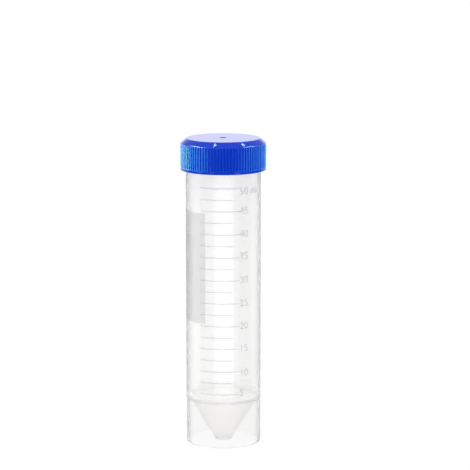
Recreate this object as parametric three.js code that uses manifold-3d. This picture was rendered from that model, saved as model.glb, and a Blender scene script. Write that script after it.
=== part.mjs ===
// A 50 ml conical tube that stands by itself on a moulded skirt, with its ribbed flat-top screw cap.
// Millimetres, +Z up. The origin is the middle of the foot ring, on the surface that the tube stands on.

import * as THREE from "three";
import { mergeVertices } from "three/addons/utils/BufferGeometryUtils.js";
import Module from "manifold-3d";

// Tube
const tubeDiameter = 28.8;
const tubeHeight = 117;
const tubeWall = 1;
const lipRound = 0.25;

// Conical bottom, which hangs inside the skirt and stays clear of the surface below
const coneHalfAngle = THREE.MathUtils.degToRad(31.5);
const coneWall = 1.1;
const tipDiameter = 6;
const tipThickness = 1.2;
const tipLift = 0.45;

// Skirt, set back a little from the tube wall
const skirtSetback = 0.13;
const skirtWall = 1;
const footEdge = 0.2;

// Thread on the neck: one rounded ridge that fades into the wall at both ends. It starts threadCover above
// the cap's lower edge, so that the cap hides it, and stops threadRimGap below the rim.
const threadHeight = 0.6;
const threadRidgeRadius = 0.7;
const threadPitch = 3.2;
const threadCover = 1.1;
const threadRimGap = 2;
const threadFade = 0.06;
const threadBuried = 0.08;

// Cap; its side wall is measured at the floor of the grip's grooves
const capWall = 0.8;
const capHeight = 12.2;
const capPlate = 1.6;
const capChamferWidth = 2.2;
const capChamferHeight = 1.8;
const capEdge = 0.4;
const capMouthEdge = 0.3;

// Grip: narrow upright grooves between the cap's plain bottom band and its shoulder
const grooveDepth = 0.4;
const grooveWidth = 0.72;
const grooveFloorWidth = 0.3;
const ribWidth = 0.46;
const bandHeight = 1.3;
const shoulderLand = 0.25;

// Plug seal: the thin ring under the cap's plate that closes the mouth of the tube
const plugWall = 0.9;
const plugDepth = 2.6;
const plugTaper = 0.35;

// Gate well in the middle of the cap's top
const wellDiameter = 2.6;
const wellDepth = 0.45;
const nubDiameter = 1;
const nubHeight = 0.3;

// Clearances between the cap and the tube
const threadClearance = 0.3;
const plugClearance = 0.3;
const seatClearance = 0.3;

// Smoothness of the round shapes, and how far a cutting shape runs past the surface it opens
const tubeFacets = 96;
const wellFacets = 24;
const ridgeSides = 8;
const ridgeStepsPerTurn = 48;
const overrun = 1;

const tubeRadius = tubeDiameter / 2;
const boreRadius = tubeRadius - tubeWall;
const skirtRadius = tubeRadius - skirtSetback;
const skirtInnerRadius = skirtRadius - skirtWall;
const capBoreRadius = tubeRadius + threadHeight + threadClearance;
const capRadius = capBoreRadius + capWall + grooveDepth;
const capUnderside = tubeHeight + seatClearance;
const capTop = capUnderside + capPlate;
const capBottom = capTop - capHeight;
const capShoulder = capTop - capChamferHeight;
const threadStart = capBottom + threadCover;
const threadTurns = (tubeHeight - threadRimGap - threadStart) / threadPitch;

// The ribs go round in whole numbers, a multiple of four so that the four sides of the cap are alike.
const ribCount = 4 * Math.round(Math.PI * capRadius / 2 / (grooveWidth + ribWidth));

const wasm = await Module();
wasm.setup();

// A closed geometry as a solid; triangles with no area, as at the ends of a turned profile, are left out.
function solidOf(geometry) {
  geometry.deleteAttribute("normal");
  geometry.deleteAttribute("uv");
  const merged = mergeVertices(geometry);
  const corners = merged.index.array;
  const kept = [];
  for (let i = 0; i < corners.length; i += 3) {
    const [a, b, c] = corners.slice(i, i + 3);
    if (a !== b && b !== c && c !== a) {
      kept.push(a, b, c);
    }
  }
  const vertProperties = merged.attributes.position.array;
  const triVerts = new Uint32Array(kept);
  return new wasm.Manifold(new wasm.Mesh({ numProp: 3, vertProperties, triVerts }));
}

// A solid of revolution about Z, from [radius, height] pairs that run anticlockwise from the axis to the axis.
function turned(profile, facets) {
  const points = profile.map(([radius, height]) => new THREE.Vector2(radius, height));
  const geometry = new THREE.LatheGeometry(points, facets);
  geometry.rotateX(Math.PI / 2);
  return solidOf(geometry);
}

function cylinderSolid(diameter, bottom, top, facets) {
  const radius = diameter / 2;
  return turned([[0, bottom], [radius, bottom], [radius, top], [0, top]], facets);
}

function meshOf(name, solid, material) {
  const { vertProperties, triVerts } = solid.getMesh();
  const geometry = new THREE.BufferGeometry();
  geometry.setAttribute("position", new THREE.BufferAttribute(vertProperties, 3));
  geometry.setIndex(new THREE.BufferAttribute(triVerts, 1));
  geometry.computeVertexNormals();
  const mesh = new THREE.Mesh(geometry, material);
  mesh.name = name;
  return mesh;
}

// Height at which the cone, drawn through its outer tip edge, reaches a radius.
function coneHeightAt(radius) {
  return tipLift + (radius - tipDiameter / 2) / Math.tan(coneHalfAngle);
}

// Everything inside the tube's outer surface: neck, wall, skirt and the outside of the cone.
function tubeOutside() {
  const junction = coneHeightAt(skirtInnerRadius);
  return turned([
    [0, tipLift],
    [tipDiameter / 2, tipLift],
    [skirtInnerRadius, junction],
    [skirtInnerRadius, 0],
    [skirtRadius - footEdge, 0],
    [skirtRadius, footEdge],
    [skirtRadius, junction],
    [tubeRadius, junction + skirtSetback],
    [tubeRadius, tubeHeight - lipRound],
    [tubeRadius - lipRound, tubeHeight],
    [0, tubeHeight],
  ], tubeFacets);
}

// The space inside the tube: conical bottom, straight bore and the eased edge of the lip.
function tubeInside() {
  const coneShift = coneWall / Math.cos(coneHalfAngle);
  const floor = tipLift + tipThickness;
  const floorRadius = tipDiameter / 2 + tipThickness * Math.tan(coneHalfAngle) - coneShift;
  return turned([
    [0, floor],
    [floorRadius, floor],
    [boreRadius, coneHeightAt(boreRadius + coneShift)],
    [boreRadius, tubeHeight - lipRound],
    [boreRadius + lipRound, tubeHeight],
    [boreRadius + lipRound, tubeHeight + overrun],
    [0, tubeHeight + overrun],
  ], tubeFacets);
}

// Centre line of the thread's ridge: a right-hand helix that sinks into the wall at both ends.
class ThreadPath extends THREE.Curve {
  getPoint(t, target = new THREE.Vector3()) {
    const fade = THREE.MathUtils.smoothstep(Math.min(t, 1 - t), 0, threadFade);
    const sink = (1 - fade) * (threadHeight + threadBuried);
    const radius = tubeRadius + threadHeight - threadRidgeRadius - sink;
    const turn = t * threadTurns;
    const angle = 2 * Math.PI * turn;
    const height = threadStart + turn * threadPitch;
    return target.set(radius * Math.cos(angle), radius * Math.sin(angle), height);
  }
}

function threadRidge() {
  const section = new THREE.Shape();
  section.absarc(0, 0, threadRidgeRadius, 0, 2 * Math.PI, false);
  return solidOf(new THREE.ExtrudeGeometry(section, {
    curveSegments: ridgeSides,
    steps: Math.round(threadTurns * ridgeStepsPerTurn),
    extrudePath: new ThreadPath(),
  }));
}

function tubeBody() {
  return tubeOutside().add(threadRidge()).subtract(tubeInside());
}

// The cap before its grip is cut: eased bottom edge, straight side, chamfer and flat top.
function capOutside() {
  return turned([
    [0, capBottom],
    [capRadius - capEdge, capBottom],
    [capRadius, capBottom + capEdge],
    [capRadius, capShoulder],
    [capRadius - capChamferWidth, capTop],
    [0, capTop],
  ], ribCount);
}

// The space inside the cap, which leaves the plug seal standing under the plate.
function capInside() {
  const plugRadius = boreRadius - plugClearance;
  const plugInnerRadius = plugRadius - plugWall;
  const plugBottom = capUnderside - plugDepth;
  return turned([
    [0, capBottom - overrun],
    [capBoreRadius + capMouthEdge, capBottom - overrun],
    [capBoreRadius + capMouthEdge, capBottom],
    [capBoreRadius, capBottom + capMouthEdge],
    [capBoreRadius, capUnderside],
    [plugRadius, capUnderside],
    [plugRadius, plugBottom + plugTaper],
    [plugRadius - plugTaper, plugBottom],
    [plugInnerRadius, plugBottom],
    [plugInnerRadius, capUnderside],
    [0, capUnderside],
  ], ribCount);
}

// One upright groove of the grip, cut into the side of the cap at an angle round it.
function gripGroove(angle) {
  const floor = capRadius - grooveDepth;
  const widening = (grooveWidth - grooveFloorWidth) / 2 / grooveDepth;
  const mouthHalf = grooveWidth / 2 + overrun * widening;
  const section = new THREE.Shape();
  section.moveTo(floor, -grooveFloorWidth / 2);
  section.lineTo(capRadius + overrun, -mouthHalf);
  section.lineTo(capRadius + overrun, mouthHalf);
  section.lineTo(floor, grooveFloorWidth / 2);
  const bottom = capBottom + bandHeight;
  const depth = capShoulder - shoulderLand - bottom;
  const geometry = new THREE.ExtrudeGeometry(section, { depth, bevelEnabled: false });
  geometry.translate(0, 0, bottom);
  geometry.rotateZ(angle);
  return solidOf(geometry);
}

function screwCap() {
  let cap = capOutside().subtract(capInside());
  const step = 2 * Math.PI / ribCount;
  for (let i = 0; i < ribCount; i++) {
    cap = cap.subtract(gripGroove((i + 0.5) * step));
  }
  const wellFloor = capTop - wellDepth;
  const nubRoot = (capUnderside + wellFloor) / 2;
  const well = cylinderSolid(wellDiameter, wellFloor, capTop + overrun, wellFacets);
  const nub = cylinderSolid(nubDiameter, nubRoot, wellFloor + nubHeight, wellFacets);
  return cap.subtract(well).add(nub);
}

const naturalPlastic = new THREE.MeshStandardMaterial({
  color: 0xeff0ec,
  roughness: 0.28,
  metalness: 0,
  transparent: true,
  opacity: 0.45,
});

const bluePlastic = new THREE.MeshStandardMaterial({
  color: 0x1746c8,
  roughness: 0.3,
  metalness: 0,
});

const conicalTube = new THREE.Group();
conicalTube.add(meshOf("tube_body", tubeBody(), naturalPlastic));
conicalTube.add(meshOf("screw_cap", screwCap(), bluePlastic));

export default conicalTube;
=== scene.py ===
import math

import bpy
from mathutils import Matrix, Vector


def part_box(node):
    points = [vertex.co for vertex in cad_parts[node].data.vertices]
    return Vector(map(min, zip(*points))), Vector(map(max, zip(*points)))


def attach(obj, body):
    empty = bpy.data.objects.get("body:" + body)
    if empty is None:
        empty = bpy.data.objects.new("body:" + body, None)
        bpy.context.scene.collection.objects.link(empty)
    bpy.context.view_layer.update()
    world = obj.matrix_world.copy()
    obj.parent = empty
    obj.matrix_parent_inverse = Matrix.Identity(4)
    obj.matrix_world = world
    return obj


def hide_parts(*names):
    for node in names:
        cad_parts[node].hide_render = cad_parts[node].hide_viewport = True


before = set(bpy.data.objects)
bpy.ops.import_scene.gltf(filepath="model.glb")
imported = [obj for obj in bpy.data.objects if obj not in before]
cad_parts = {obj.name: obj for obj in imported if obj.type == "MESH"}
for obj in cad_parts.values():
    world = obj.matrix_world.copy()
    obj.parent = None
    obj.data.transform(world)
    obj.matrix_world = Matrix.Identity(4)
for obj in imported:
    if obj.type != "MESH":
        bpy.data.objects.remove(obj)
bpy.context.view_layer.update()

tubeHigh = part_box("tube_body")[1]
capLow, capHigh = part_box("screw_cap")
mm = 0.001
fullTurn = 2 * math.pi
mergeDistance = 1e-7     # metres
nearby = 0.01            # millimetres, for picking vertices by their place

cameraValues = {
    "place": (4.5, -850.0, 229.5),      # millimetres
    "aim": (4.5, -14.4, 83.6),
    "lens": 171.4,
    "sensorWidth": 36,
    "clipStart": 0.01,
}

print("camera")
bpy.ops.object.select_all(action="DESELECT")
bpy.ops.object.camera_add(location=Vector(cameraValues["place"]) * mm)
camera = bpy.context.object
sight = Vector(cameraValues["aim"]) - Vector(cameraValues["place"])
camera.rotation_euler = sight.to_track_quat("-Z", "Y").to_euler()
camera.data.lens = cameraValues["lens"]
camera.data.sensor_width = cameraValues["sensorWidth"]
camera.data.clip_start = cameraValues["clipStart"]
bpy.context.scene.camera = camera
bpy.context.scene.view_settings.view_transform = "Standard"


# A node's output that can stand in arithmetic; each step adds one Math node.
class Signal:
    def __init__(self, recipe, socket):
        self.recipe = recipe
        self.socket = socket

    def maths(self, operation, first, second):
        return self.recipe.node("ShaderNodeMath", {"operation": operation}, {0: first, 1: second})

    def __add__(self, other):
        return self.maths("ADD", self, other)

    def __radd__(self, other):
        return self.maths("ADD", other, self)

    def __rsub__(self, other):
        return self.maths("SUBTRACT", other, self)

    def __mul__(self, other):
        return self.maths("MULTIPLY", self, other)

    def __rmul__(self, other):
        return self.maths("MULTIPLY", other, self)

    def __lt__(self, other):
        return self.maths("LESS_THAN", self, other)

    def __gt__(self, other):
        return self.maths("GREATER_THAN", self, other)


# A material being put together: node() makes any node from its type, its settings and its inputs.
class Recipe:
    def __init__(self, holder):
        self.holder = holder
        holder.use_nodes = True
        self.tree = holder.node_tree
        self.tree.nodes.clear()

    def node(self, kind, settings=None, inputs=None, output=0):
        made = self.tree.nodes.new(kind)
        for key, value in (settings or {}).items():
            if key == "stops":
                self.setStops(made.color_ramp, value)
            else:
                setattr(made, key, value)
        for key, value in (inputs or {}).items():
            if isinstance(value, Signal):
                self.tree.links.new(value.socket, made.inputs[key])
            else:
                made.inputs[key].default_value = value
        return Signal(self, made.outputs[output] if made.outputs else None)

    def setStops(self, ramp, stops):
        while len(ramp.elements) < len(stops):
            ramp.elements.new(1.0)
        for element, (position, level) in zip(ramp.elements, stops):
            element.position = position
            element.color = (level, level, level, 1)

    def place(self):
        return self.node("ShaderNodeTexCoord", output="Object")

    def noise(self, place, scale, detail):
        return self.node("ShaderNodeTexNoise", None, {"Vector": place, "Scale": scale, "Detail": detail})

    def ramp(self, stops, position):
        return self.node("ShaderNodeValToRGB", {"stops": stops}, {"Fac": position})

    def colourBetween(self, share, first, second):
        colours = {"Factor": share, "A": first, "B": second}
        return self.node("ShaderNodeMix", {"data_type": "RGBA"}, colours, output="Result")

    def bump(self, look, grain):
        inputs = {"Strength": look["grainStrength"], "Distance": look["grainDepth"], "Height": grain}
        return self.node("ShaderNodeBump", None, inputs)

    def mixShader(self, share, first, second):
        return self.node("ShaderNodeMixShader", None, {0: share, 1: first, 2: second})

    def finish(self, surface):
        kind = "World" if isinstance(self.holder, bpy.types.World) else "Material"
        self.node("ShaderNodeOutput" + kind, None, {"Surface": surface})
        return self.holder


floorValues = {
    "size": 12.0,
    "dark": (0.96, 0.96, 0.96, 1),
    "pale": (0.98, 0.98, 0.98, 1),
    "toneScale": 30.0,
    "toneDetail": 2.0,
}

print("floor")
bpy.ops.object.select_all(action="DESELECT")
bpy.ops.mesh.primitive_plane_add(size=floorValues["size"])
floor = bpy.context.object
floor.name = floor.data.name = "floor"
floor.visible_glossy = False
paper = Recipe(bpy.data.materials.new("pale_floor"))
paperTone = paper.noise(paper.place(), floorValues["toneScale"], floorValues["toneDetail"])
paperBase = paper.colourBetween(paperTone, floorValues["dark"], floorValues["pale"])
floor.data.materials.append(paper.finish(paper.node("ShaderNodeBsdfDiffuse", None, {"Color": paperBase})))

lightValues = {
    "roomLight": 1.03,                  # what lights the object and shows behind it
    "mirrored": [                       # what shows in its gloss, from straight down to straight up
        (0.0, 0.8), (0.46, 0.8), (0.5, 1.35), (0.6, 1.35), (0.7, 0.5), (1.0, 0.4),
    ],
    "lampPlace": (-0.5, -0.4, 1.2),     # metres
    "lampAim": (0.0, 0.0, 0.11),
    "lampSize": 0.8,
    "lampPower": 0.6,
}


# Turns an object at a place so that its front or its light faces a spot, all in metres.
def aimed(place, spot):
    return (Vector(spot) - Vector(place)).to_track_quat("-Z", "Y").to_euler()


print("light")
bpy.ops.object.light_add(type="AREA", location=lightValues["lampPlace"])
softbox = bpy.context.object
softbox.name = softbox.data.name = "softbox"
softbox.rotation_euler = aimed(lightValues["lampPlace"], lightValues["lampAim"])
softbox.data.size = lightValues["lampSize"]
softbox.data.energy = lightValues["lampPower"]
bpy.context.scene.world = bpy.data.worlds.new("studio")
room = Recipe(bpy.context.scene.world)
direction = room.node("ShaderNodeTexCoord", output="Generated")
upward = room.node("ShaderNodeSeparateXYZ", None, {0: direction}, output="Z")
mirrored = room.ramp(lightValues["mirrored"], 0.5 + 0.5 * upward)
through = room.node("ShaderNodeLightPath", output="Is Transmission Ray")
gloss = room.node("ShaderNodeLightPath", output="Is Glossy Ray") * (1 - through)
brightness = gloss * mirrored + (1 - gloss) * lightValues["roomLight"]
room.finish(room.node("ShaderNodeBackground", None, {"Color": (1, 1, 1, 1), "Strength": brightness}))


# Leaves a piece in edit mode with only the vertices picked that pass a test of their place in millimetres.
def pickPlaces(piece, test):
    bpy.ops.object.mode_set(mode="EDIT")
    bpy.ops.mesh.select_mode(type="VERT")
    bpy.ops.mesh.select_all(action="DESELECT")
    bpy.ops.object.mode_set(mode="OBJECT")
    for vertex in piece.data.vertices:
        vertex.select = test(vertex.co / mm)
    bpy.ops.object.mode_set(mode="EDIT")


# Draws a wire in the XZ plane through corners of (radius, height, cut), all millimetres.
# A cut rounds its corner off, starting that far from it on both sides.
def drawProfile(name, corners, roundSteps=4):
    bpy.ops.object.select_all(action="DESELECT")
    bpy.ops.mesh.primitive_plane_add(size=mm)
    piece = bpy.context.object
    piece.name = piece.data.name = name
    bpy.ops.object.mode_set(mode="EDIT")
    bpy.ops.mesh.select_all(action="SELECT")
    bpy.ops.mesh.merge(type="CENTER")
    bpy.ops.transform.translate(value=(corners[0][0] * mm, 0, corners[0][1] * mm))
    for here, there in zip(corners, corners[1:]):
        step = ((there[0] - here[0]) * mm, 0, (there[1] - here[1]) * mm)
        bpy.ops.mesh.extrude_region_move(TRANSFORM_OT_translate={"value": step})
    for cut in sorted({corner[2] for corner in corners if corner[2] > 0}):
        ends = [corner for corner in corners if corner[2] == cut]
        pickPlaces(piece, lambda spot: any(math.hypot(spot.x - end[0], spot.z - end[1]) < nearby for end in ends))
        bpy.ops.mesh.bevel(offset=cut * mm, segments=roundSteps, affect="VERTICES", offset_type="OFFSET")
    bpy.ops.mesh.select_all(action="SELECT")
    return piece


# Sweeps what is selected round the axis. Angles are in degrees from the front, positive to the right.
def sweep(startAngle, endAngle, steps):
    turn = math.radians(90 - startAngle)
    bpy.ops.transform.rotate(value=turn, orient_axis="Z", center_override=(0, 0, 0))
    arc = math.radians(startAngle - endAngle)
    bpy.ops.mesh.spin(steps=steps, angle=arc, center=(0, 0, 0), axis=(0, 0, 1))


# Merges what meets and turns the faces outwards, then leaves edit mode.
def closeMesh(piece):
    bpy.ops.object.mode_set(mode="EDIT")
    bpy.ops.mesh.select_all(action="SELECT")
    bpy.ops.mesh.remove_doubles(threshold=mergeDistance)
    bpy.ops.mesh.normals_make_consistent(inside=False)
    bpy.ops.object.mode_set(mode="OBJECT")


# Glowing panels and curved cards, which only the gloss of the pieces in one collection shows.
windowValues = {                        # place and size in metres, light
    "left_window": ((-0.167, 0.085, 0.997), 0.055, (13.0, 19.0, 24.0)),
    "right_window": ((0.370, 0.247, 0.9), 0.055, (13.0, 19.0, 24.0)),
}
cardValues = {                          # from and to in degrees, two edges as radius and height in mm, light
    "front_card": (-26, 30, (85, 1), (723, 1), (3.2, 3.2, 3.2)),
    "front_left_card": (-60, -36, (85, 1), (723, 1), (1.0, 1.0, 1.0)),
    "left_card": (-108, -74, (85, 1), (723, 1), (1.9, 1.9, 1.9)),
    "right_card": (45, 92, (85, 1), (723, 1), (0.1, 0.1, 0.1)),
    "far_right_card": (92, 122, (85, 1), (723, 1), (1.0, 1.0, 1.0)),
    "cap_front_card": (-43, 40, (727, 1), (2600, 1), (0.05, 0.08, 0.1)),
    "cap_near_left_card": (-66, -43, (727, 1), (2600, 1), (0.6, 3.0, 3.8)),
    "cap_left_card": (-102, -66, (727, 1), (2600, 1), (0.9, 4.6, 6.5)),
    "cap_far_left_card": (-128, -102, (727, 1), (2600, 1), (2.6, 7.5, 4.0)),
    "cap_back_left_card": (-150, -128, (727, 1), (2600, 1), (1.9, 4.2, 4.2)),
    "cap_back_card": (-210, -150, (727, 1), (2600, 1), (1.1, 2.25, 2.4)),
    "cap_back_right_card": (128, 150, (727, 1), (2600, 1), (0.6, 1.6, 2.6)),
    "cap_right_card": (60, 128, (727, 1), (2600, 1), (0.55, 2.6, 3.6)),
    "cap_near_right_card": (40, 60, (727, 1), (2600, 1), (0.3, 0.9, 1.4)),
    "cap_left_panel": (-115, -60, (900, 630), (900, 1180), (13.0, 18.0, 19.0)),
    "cap_right_panel": (65, 115, (900, 630), (900, 1180), (7.0, 12.0, 15.0)),
}
cardSteps = 24
tubePieces = bpy.data.collections.new("tube_pieces")
capPieces = bpy.data.collections.new("cap_pieces")


def reflector(panel, name, light, receivers):
    panel.name = panel.data.name = name
    panel.light_linking.receiver_collection = receivers
    glow = Recipe(bpy.data.materials.new(name))
    panel.data.materials.append(glow.finish(glow.node("ShaderNodeEmission", None, {"Color": (*light, 1)})))
    panel.visible_camera = panel.visible_diffuse = panel.visible_transmission = panel.visible_shadow = False


print("windows and cards")
for name, (place, size, light) in windowValues.items():
    bpy.ops.object.select_all(action="DESELECT")
    rotation = aimed(place, lightValues["lampAim"])
    bpy.ops.mesh.primitive_plane_add(size=size, location=place, rotation=rotation)
    reflector(bpy.context.object, name, light, capPieces)
for name, (startAngle, endAngle, near, far, light) in cardValues.items():
    card = drawProfile(name, [(*near, 0), (*far, 0)])
    sweep(startAngle, endAngle, cardSteps)
    closeMesh(card)
    reflector(card, name, light, capPieces if name.startswith("cap") else tubePieces)


def applyModifier(piece, kind, **settings):
    bpy.ops.object.select_all(action="DESELECT")
    piece.select_set(True)
    bpy.context.view_layer.objects.active = piece
    modifier = piece.modifiers.new(kind.lower(), kind)
    for key, value in settings.items():
        setattr(modifier, key, value)
    bpy.ops.object.modifier_apply(modifier=modifier.name)


smoothAngle = 40         # degrees; sharper edges than this stay sharp


def finishPiece(piece, body, material):
    bpy.ops.object.mode_set(mode="OBJECT")
    bpy.ops.object.select_all(action="DESELECT")
    piece.select_set(True)
    bpy.context.view_layer.objects.active = piece
    bpy.ops.object.shade_smooth_by_angle(angle=math.radians(smoothAngle))
    applyModifier(piece, "WEIGHTED_NORMAL", keep_sharp=True)
    piece.data.materials.clear()
    piece.data.materials.append(material)
    (capPieces if body == "cap" else tubePieces).objects.link(piece)
    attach(piece, body)


def joinPieces(name, pieces):
    bpy.ops.object.select_all(action="DESELECT")
    for piece in pieces:
        piece.select_set(True)
    bpy.context.view_layer.objects.active = pieces[0]
    bpy.ops.object.join()
    pieces[0].name = pieces[0].data.name = name
    return pieces[0]


# A round rod wound up a right-hand helix about the axis.
# Its ends thin out to points inside the wall behind it.
def helix(name, values):
    bpy.ops.object.select_all(action="DESELECT")
    bpy.ops.mesh.primitive_circle_add(
        vertices=values["rodSides"], radius=values["rodRadius"] * mm, fill_type="NOTHING",
        location=(values["rodCentre"] * mm, 0, values["start"] * mm), rotation=(math.pi / 2, 0, 0))
    rod = bpy.context.object
    rod.name = rod.data.name = name
    bpy.ops.object.transform_apply(location=True, rotation=True)
    rise = values["pitch"] * values["turns"]
    applyModifier(rod, "SCREW", angle=fullTurn * values["turns"], screw_offset=rise * mm, axis="Z",
                  steps=values["steps"], render_steps=values["steps"], use_merge_vertices=False)
    for ring in range(values["fadeSteps"]):
        share = max(values["endShare"], math.sin(ring / values["fadeSteps"] * math.pi / 2))
        for place in (ring, values["steps"] - ring):
            angle = fullTurn * values["turns"] * place / values["steps"]
            across = Vector((math.cos(angle), math.sin(angle), 0))
            along = Vector((-math.sin(angle), math.cos(angle), 0))
            height = values["start"] + rise * place / values["steps"]
            reach = values["rodRadius"] + nearby
            pickPlaces(rod, lambda spot: abs(spot.dot(along)) < nearby and spot.dot(across) > 0
                       and abs(spot.z - height) < reach)
            middle = across * values["rootRadius"] * mm
            middle.z = height * mm
            bpy.ops.transform.resize(value=(share, share, share), center_override=middle)
    bpy.ops.mesh.select_all(action="SELECT")
    bpy.ops.mesh.fill_holes(sides=0)
    closeMesh(rod)
    return rod


tubeValues = {
    "wallRadius": 14.4,
    "boreRadius": 13.4,
    "skirtRadius": 14.27,
    "skirtInner": 13.27,
    "junction": 17.21,
    "innerJunction": 19.53,
    "tipRadius": 3.0,
    "tipLift": 0.45,
    "floorRadius": 2.445,
    "floor": 1.65,
    "floorRound": 0.4,
    "innerJunctionRound": 0.5,
    "lipRound": 0.28,
    "footRound": 0.25,
    "junctionRound": 0.4,
    "tipRound": 0.25,
    "spinSteps": 192,
}
neckThread = {
    "rodSides": 14,
    "rodRadius": 0.7,
    "rodCentre": 14.3,
    "rootRadius": 14.1,
    "start": 107.8,
    "pitch": 3.2,
    "turns": 2.25,
    "steps": 108,
    "fadeSteps": 8,
    "endShare": 0.06,
}
wallLook = {
    "tint": (0.985, 0.985, 0.98, 1),
    "coneTint": (0.995, 0.974, 0.952, 1),
    "milkShare": 0.1,
    "milkSpread": 0.04,
    "milkRoughness": 0.5,
    "span": 0.03,                       # metres; the heights in the next three are shares of this
    # The extra milk is the thick joint scattering more, and with the darker milk there it also paints the shade of
    # the junction ring.
    "bandShare": [                      # extra milk where the cone, the wall and the skirt meet
        (0.57, 0.0), (0.585, 0.45), (0.605, 0.5), (0.62, 0.7),
        (0.645, 0.7), (0.67, 0.14), (0.69, 0.1), (0.715, 0.0),
    ],
    # the milk's brightness by height: darker in the junction ring as painted shade
    "milkToneWithRingShade": [(0.57, 0.89), (0.585, 0.78), (0.605, 0.78), (0.62, 0.88), (0.69, 0.9), (0.74, 0.84)],
    # grey mixed in near the bottom of the cone: painted shade at its tip
    "tipShare": [(0.06, 0.1), (0.15, 0.0)],
    "coneRadius": 0.0132,               # metres; within it the cone looks greyer towards its outline
    # how much grey is mixed in towards the cone's outline: painted shade
    "coneShare": 0.14,
    "outside": 0.0139,                  # metres; beyond it lies the outer wall
    "edgeBlend": 0.5,
    # From facing to edge-on, how much greyer the outer wall gets, a painted shade along its outline, and how much
    # of its mirroring it loses.
    "rimShare": [(0.5, 0.0), (0.56, 0.08), (0.63, 0.22), (0.74, 0.26), (0.9, 0.45)],
    "dullShare": [(0.36, 0.0), (0.46, 0.8), (0.87, 0.85)],
    # the grey of the painted shade at the outlines and at the cone's tip
    "rimShadeGrey": (0.35, 0.36, 0.37, 1),
    "bend": 1.49,
    "roughness": 0.14,
    "roughnessSpread": 0.02,
    "cloudScale": 90.0,
    "grainScale": 700.0,
    "grainStrength": 0.2,
    "grainDepth": 0.000003,
    "detail": 2.0,
}


# Natural plastic: clear enough to see through, with a little milk in it and an uneven moulded surface. The grey at
# its outlines and at the cone's tip, and the darker milk of the junction ring, are painted shade.
def clearPlastic(name, look):
    recipe = Recipe(bpy.data.materials.new(name))
    place = recipe.place()
    grain = recipe.noise(place, look["grainScale"], look["detail"])
    cloud = recipe.noise(place, look["cloudScale"], look["detail"])
    bump = recipe.bump(look, grain)
    height = recipe.node("ShaderNodeSeparateXYZ", None, {0: place}, output="Z") * (1 / look["span"])
    band = recipe.ramp(look["bandShare"], height)
    tip = recipe.ramp(look["tipShare"], height)
    # milk brightness by height, darker in the junction ring as painted shade
    tone = recipe.ramp(look["milkToneWithRingShade"], height)
    flat = recipe.node("ShaderNodeVectorMath", {"operation": "MULTIPLY"}, {0: place, 1: (1, 1, 0)})
    fromAxis = recipe.node("ShaderNodeVectorMath", {"operation": "LENGTH"}, {0: flat}, output="Value")
    onCone = fromAxis < look["coneRadius"]
    outside = fromAxis > look["outside"]
    edgeOn = recipe.node("ShaderNodeLayerWeight", None, {"Blend": look["edgeBlend"]}, output="Facing")
    rim = recipe.ramp(look["rimShare"], edgeOn)
    # share of the dull grey: painted shade towards the cone's outline, at its tip and along the outer wall's
    # outline
    grey = onCone * (look["coneShare"] * edgeOn * edgeOn + tip) + outside * rim
    share = look["milkShare"] + look["milkSpread"] * cloud + band
    tint = recipe.colourBetween(onCone, look["tint"], look["coneTint"])
    roughness = look["roughness"] + look["roughnessSpread"] * cloud
    clear = recipe.node("ShaderNodeBsdfPrincipled", None, {
        "Base Color": tint,
        "Roughness": roughness,
        "IOR": look["bend"],
        "Transmission Weight": 1.0,
        "Normal": bump,
    })
    dull = recipe.node("ShaderNodeBsdfRefraction", None, {
        "Color": look["tint"],
        "Roughness": roughness,
        "IOR": look["bend"],
        "Normal": bump,
    })
    milk = recipe.node("ShaderNodeBsdfPrincipled", None, {
        "Base Color": tone,
        "Roughness": look["milkRoughness"],
        "Specular IOR Level": 0.0,
    })
    # a dull grey surface, mixed in as painted shade
    dim = recipe.node("ShaderNodeBsdfDiffuse", None, {"Color": look["rimShadeGrey"]})
    clear = recipe.mixShader(outside * recipe.ramp(look["dullShare"], edgeOn), clear, dull)
    wall = recipe.mixShader(share, clear, milk)
    return recipe.finish(recipe.mixShader(grey, wall, dim))


def tubeShell(values):
    top = tubeHigh.z / mm
    setback = values["wallRadius"] - values["skirtRadius"]
    piece = drawProfile("tube_shell", [
        (0, values["floor"], 0),
        (values["floorRadius"], values["floor"], values["floorRound"]),
        (values["boreRadius"], values["innerJunction"], values["innerJunctionRound"]),
        (values["boreRadius"], top, values["lipRound"]),
        (values["wallRadius"], top, values["lipRound"]),
        (values["wallRadius"], values["junction"] + setback, 0),
        (values["skirtRadius"], values["junction"], 0),
        (values["skirtRadius"], 0, values["footRound"]),
        (values["skirtInner"], 0, values["footRound"]),
        (values["skirtInner"], values["junction"], values["junctionRound"]),
        (values["tipRadius"], values["tipLift"], values["tipRound"]),
        (0, values["tipLift"], 0),
    ])
    bpy.ops.mesh.spin(steps=values["spinSteps"], angle=fullTurn, center=(0, 0, 0), axis=(0, 0, 1))
    closeMesh(piece)
    ridge = helix("ridge", neckThread)
    applyModifier(piece, "BOOLEAN", operation="UNION", solver="EXACT", object=ridge)
    bpy.data.objects.remove(ridge)
    return piece


print("tube shell")
tube = tubeShell(tubeValues)
finishPiece(tube, "tube", clearPlastic("clear_wall", wallLook))
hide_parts("tube_body")
tube.visible_shadow = tube.visible_diffuse = False

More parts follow.
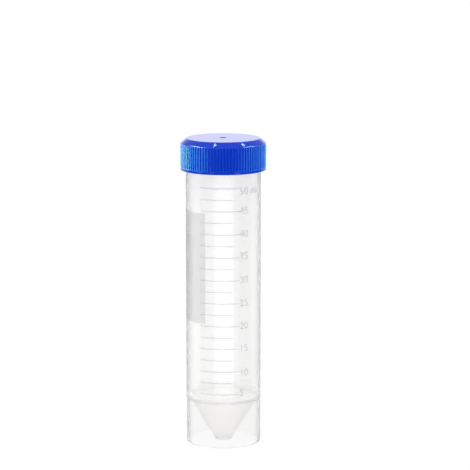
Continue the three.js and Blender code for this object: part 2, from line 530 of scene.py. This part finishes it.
# Raised marks of the volume scale: each is a low rounded ridge that follows the wall.
scaleValues = {
    "thickness": 0.11,
    "ridgeWidth": 0.34,
    "foot": 0.04,                       # how far a piece reaches into the wall
    "edgeRound": 0.07,
    "roundSteps": 3,
    "lowestHeight": 21.2,
    "gap": 8.895,
    "longCount": 10,
    "shortCount": 9,
    "startAngle": -37.3,
    "longEnd": 25.9,
    "shortEnd": 13.9,
    "arcStep": 2.0,
}
markLook = {
    # grey of the raised marks and numerals: painted shade of their edges
    "tint": (0.66, 0.66, 0.67, 1),
    "opacity": 0.44,
    "roughness": 0.6,
    "roughnessSpread": 0.1,
    "gloss": 0.0,
    "grainScale": 900.0,
    "grainStrength": 0.5,
    "grainDepth": 0.00002,
    "detail": 3.0,
}


# The tube's plastic where it is raised or frosted and scatters the light. Its grey is the frosted patch's own
# tone, and on the raised marks and numerals a painted shade of their edges.
def frostedAndShadedPlastic(name, look):
    recipe = Recipe(bpy.data.materials.new(name))
    grain = recipe.noise(recipe.place(), look["grainScale"], look["detail"])
    return recipe.finish(recipe.node("ShaderNodeBsdfPrincipled", None, {
        "Base Color": look["tint"],
        "Roughness": look["roughness"] + look["roughnessSpread"] * grain,
        "Specular IOR Level": look["gloss"],
        "Alpha": look["opacity"],
        "Normal": recipe.bump(look, grain),
    }))


# A band that stands proud of the wall between two heights, swept round the axis and closed at both ends.
def sweptBand(name, low, high, endAngle, steps, values):
    inner = tubeValues["wallRadius"] - values["foot"]
    outer = tubeValues["wallRadius"] + values["thickness"]
    cut = values["edgeRound"]
    section = [(inner, low, 0), (outer, low, cut), (outer, high, cut), (inner, high, 0), (inner, low, 0)]
    piece = drawProfile(name, section, values["roundSteps"])
    sweep(values["startAngle"], endAngle, steps)
    bpy.ops.mesh.select_all(action="SELECT")
    bpy.ops.mesh.remove_doubles(threshold=mergeDistance)
    bpy.ops.mesh.fill_holes(sides=0)
    closeMesh(piece)
    return piece


def scaleMarks(name, height, endAngle, count, values):
    low, high = height - values["ridgeWidth"] / 2, height + values["ridgeWidth"] / 2
    steps = round((endAngle - values["startAngle"]) / values["arcStep"])
    piece = sweptBand(name, low, high, endAngle, steps, values)
    applyModifier(piece, "ARRAY", count=count, use_relative_offset=False, use_constant_offset=True,
                  constant_offset_displace=(0, 0, values["gap"] * mm))
    return piece


print("scale lines")
lowest, halfGap = scaleValues["lowestHeight"], scaleValues["gap"] / 2
marks = joinPieces("scale_lines", [
    scaleMarks("long_marks", lowest, scaleValues["longEnd"], scaleValues["longCount"], scaleValues),
    scaleMarks("short_marks", lowest + halfGap, scaleValues["shortEnd"], scaleValues["shortCount"], scaleValues),
])
finishPiece(marks, "tube", frostedAndShadedPlastic("raised_marks", markLook))

numeralValues = {
    "size": 4.0,
    "thickness": 0.12,
    "edge": 0.03,
    "edgeSteps": 1,
    "curveSteps": 4,
    "thinning": -0.03,
    "foot": 0.04,
    "startAngle": 25.5,
    "step": 5,
    "unit": " ml",                      # after the top numeral
    "lifts": {                          # how far each stands above its mark
        "50": -1.1, "45": 0.25, "40": 0.25, "35": 0.6, "30": 0.25,
        "25": 0.25, "20": 0.25, "15": 0.25, "10": -0.5, "5": 0.6,
    },
}
# the numerals keep the marks' grey, the same painted shade
numeralLook = {**markLook, "opacity": 0.6}


# Letters set flat, made a mesh, bent to the wall's radius and turned round to their angle.
def wallText(text, height, values):
    bpy.ops.object.select_all(action="DESELECT")
    bpy.ops.object.text_add(rotation=(math.pi / 2, 0, 0))
    letters = bpy.context.object
    letters.data.body = text
    letters.data.size = values["size"] * mm
    letters.data.extrude = (values["thickness"] - values["edge"]) * mm / 2
    letters.data.bevel_depth = values["edge"] * mm
    letters.data.bevel_resolution = values["edgeSteps"]
    letters.data.resolution_u = values["curveSteps"]
    letters.data.align_y = "CENTER"
    letters.data.offset = values["thinning"] * mm
    bpy.ops.object.convert(target="MESH")
    bpy.ops.object.transform_apply(rotation=True)
    spots = [vertex.co for vertex in letters.data.vertices]
    width = max(spot.x for spot in spots) - min(spot.x for spot in spots)
    middle = (max(spot.z for spot in spots) + min(spot.z for spot in spots)) / 2
    wall = tubeValues["wallRadius"]
    applyModifier(letters, "SIMPLE_DEFORM", deform_method="BEND", deform_axis="Z", angle=width / (wall * mm))
    outward = (wall + values["thickness"] / 2 - values["foot"]) * mm
    letters.location = (0, -outward, height * mm - middle)
    bpy.ops.object.transform_apply(location=True)
    letters.rotation_euler = (0, 0, math.radians(values["startAngle"]))
    bpy.ops.object.transform_apply(rotation=True)
    closeMesh(letters)
    return letters


print("numerals")
numerals = []
for index in range(scaleValues["longCount"]):
    text = str(numeralValues["step"] * (index + 1))
    height = scaleValues["lowestHeight"] + index * scaleValues["gap"] + numeralValues["lifts"][text]
    if index == scaleValues["longCount"] - 1:
        text += numeralValues["unit"]
    numerals.append(wallText(text, height, numeralValues))
numerals = joinPieces("scale_numerals", numerals)
finishPiece(numerals, "tube", frostedAndShadedPlastic("raised_numerals", numeralLook))

patchValues = {
    "thickness": 0.035,
    "foot": 0.02,
    "edgeRound": 0.02,
    "roundSteps": 2,
    "bottom": 48.6,
    "top": 91.5,
    "startAngle": -112.0,
    "endAngle": -28.3,
    "steps": 50,
}
patchLook = {
    **markLook,
    "tint": (0.54, 0.54, 0.55, 1),
    "opacity": 0.2,
    "roughness": 0.8,
    "grainScale": 1500.0,
    "grainDepth": 0.00006,
}


def writingPatch(values):
    return sweptBand("writing_patch", values["bottom"], values["top"], values["endAngle"], values["steps"], values)


print("writing patch")
patch = writingPatch(patchValues)
finishPiece(patch, "tube", frostedAndShadedPlastic("frosted_patch", patchLook))

capValues = {
    "boreRadius": 15.3,
    "plateBottom": 117.3,
    "shoulder": 117.1,
    "chamferWidth": 2.2,
    "topRound": 0.4,
    "shoulderRound": 0.35,
    "mouthRound": 0.35,
    "mouthEdge": 0.3,
    "smallRound": 0.1,
    "rootRound": 0.3,
    "bandHeight": 1.3,
    "shoulderLand": 0.25,
    "grooveDepth": 0.4,
    "upperRunOut": 0.34,
    "upperSteps": ((0, 0), (0.4, 0.55), (1, 1)),        # shares of the run-out and of the depth
    "lowerRunOut": 0.12,
    "lowerSteps": ((1, 1), (0.35, 0.85), (0, 0)),
    "ribCount": 88,
    "ribColumns": [                     # millimetres round the cap, share of the depth
        (0.250, 0.0), (0.300, 0.07), (0.445, 0.93), (0.490, 1.0),
        (0.688, 1.0), (0.733, 0.93), (0.878, 0.07), (0.928, 0.0),
    ],
    "plugRadius": 13.1,
    "plugInner": 12.2,
    "plugBottom": 114.7,
    "plugTaper": 0.35,
    "plugRootRound": 0.25,
    "plugInnerRound": 0.15,
    "wellRadius": 1.3,
    "wellDepth": 0.45,
    "wellRound": 0.12,
    "nubRadius": 0.5,
    "nubHeight": 0.3,
    "nubRootRound": 0.08,
}
capLook = {
    "base": (0.002, 0.045, 0.62, 1),
    "deep": (0.002, 0.039, 0.56, 1),
    "roughness": 0.06,
    "roughnessSpread": 0.03,
    "bend": 1.5,
    "cloudScale": 140.0,
    "cloudDetail": 3.0,
    "grainScale": 1400.0,
    "grainStrength": 0.25,
    "grainDepth": 0.00003,
    "grainDetail": 2.0,
}


def bluePlastic(name, look):
    recipe = Recipe(bpy.data.materials.new(name))
    place = recipe.place()
    cloud = recipe.noise(place, look["cloudScale"], look["cloudDetail"])
    grain = recipe.noise(place, look["grainScale"], look["grainDetail"])
    return recipe.finish(recipe.node("ShaderNodeBsdfPrincipled", None, {
        "Base Color": recipe.colourBetween(cloud, look["base"], look["deep"]),
        "Roughness": look["roughness"] + look["roughnessSpread"] * cloud,
        "IOR": look["bend"],
        "Normal": recipe.bump(look, grain),
    }))


# Turns one rib and groove from the profile, presses the groove in and copies the pair round the axis.
def ribbedCap(values):
    radius, top, bottom = capHigh.x / mm, capHigh.z / mm, capLow.z / mm
    wellFloor = top - values["wellDepth"]
    nubTop = wellFloor + values["nubHeight"]
    mouth = values["mouthEdge"]
    plugRadius, plugInner, plugBottom = values["plugRadius"], values["plugInner"], values["plugBottom"]
    taper, small = values["plugTaper"], values["smallRound"]
    grooveBottom, grooveTop = bottom + values["bandHeight"], values["shoulder"] - values["shoulderLand"]
    rows = [(grooveTop - values["upperRunOut"] * share, depth) for share, depth in values["upperSteps"]]
    rows += [(grooveBottom + values["lowerRunOut"] * share, depth) for share, depth in values["lowerSteps"]]
    piece = drawProfile("ribbed_cap", [
        (0, nubTop, 0),
        (values["nubRadius"], nubTop, values["wellRound"]),
        (values["nubRadius"], wellFloor, values["nubRootRound"]),
        (values["wellRadius"], wellFloor, small),
        (values["wellRadius"], top, values["wellRound"]),
        (radius - values["chamferWidth"], top, values["topRound"]),
        (radius, values["shoulder"], values["shoulderRound"]),
        *[(radius, height, 0) for height, depth in rows],
        (radius, bottom, values["mouthRound"]),
        (values["boreRadius"] + mouth, bottom, small),
        (values["boreRadius"], bottom + mouth, small),
        (values["boreRadius"], values["plateBottom"], values["rootRound"]),
        (plugRadius, values["plateBottom"], values["plugRootRound"]),
        (plugRadius, plugBottom + taper, small),
        (plugRadius - taper, plugBottom, small),
        (plugInner, plugBottom, values["plugInnerRound"]),
        (plugInner, values["plateBottom"], values["rootRound"]),
        (0, values["plateBottom"], 0),
    ])
    pitch = fullTurn / values["ribCount"]
    places = [place / radius for place, share in values["ribColumns"]] + [pitch]
    for here, there in zip([0] + places, places):
        bpy.ops.mesh.spin(steps=1, angle=here - there, center=(0, 0, 0), axis=(0, 0, 1))
    for place, share in zip(places, [share for place, share in values["ribColumns"]]):
        across = Vector((math.cos(place), math.sin(place), 0))
        for level in {depth * share for height, depth in rows if depth * share > 0}:
            heights = [height for height, depth in rows if depth * share == level]
            pickPlaces(piece, lambda spot: spot.x > 0 and abs(spot.cross(across).z) < nearby
                       and spot.xy.length > radius - nearby
                       and any(abs(spot.z - height) < nearby for height in heights))
            bpy.ops.transform.translate(value=-across * values["grooveDepth"] * level * mm)
    bpy.ops.mesh.select_all(action="SELECT")
    rest = pitch - fullTurn
    bpy.ops.mesh.spin(steps=values["ribCount"] - 1, angle=rest, dupli=True, center=(0, 0, 0), axis=(0, 0, 1))
    closeMesh(piece)
    return piece


print("cap")
cap = ribbedCap(capValues)
finishPiece(cap, "cap", bluePlastic("blue_shell", capLook))
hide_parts("screw_cap")

capThread = {
    "rodSides": 14,
    "rodRadius": 0.6,
    "rodCentre": 15.3,
    "rootRadius": 15.5,
    "start": 109.4,
    "pitch": 3.2,
    "turns": 1.75,
    "steps": 84,
    "fadeSteps": 8,
    "endShare": 0.06,
}

print("cap thread")
innerThread = helix("cap_thread", capThread)
finishPiece(innerThread, "cap", bluePlastic("blue_thread", capLook))
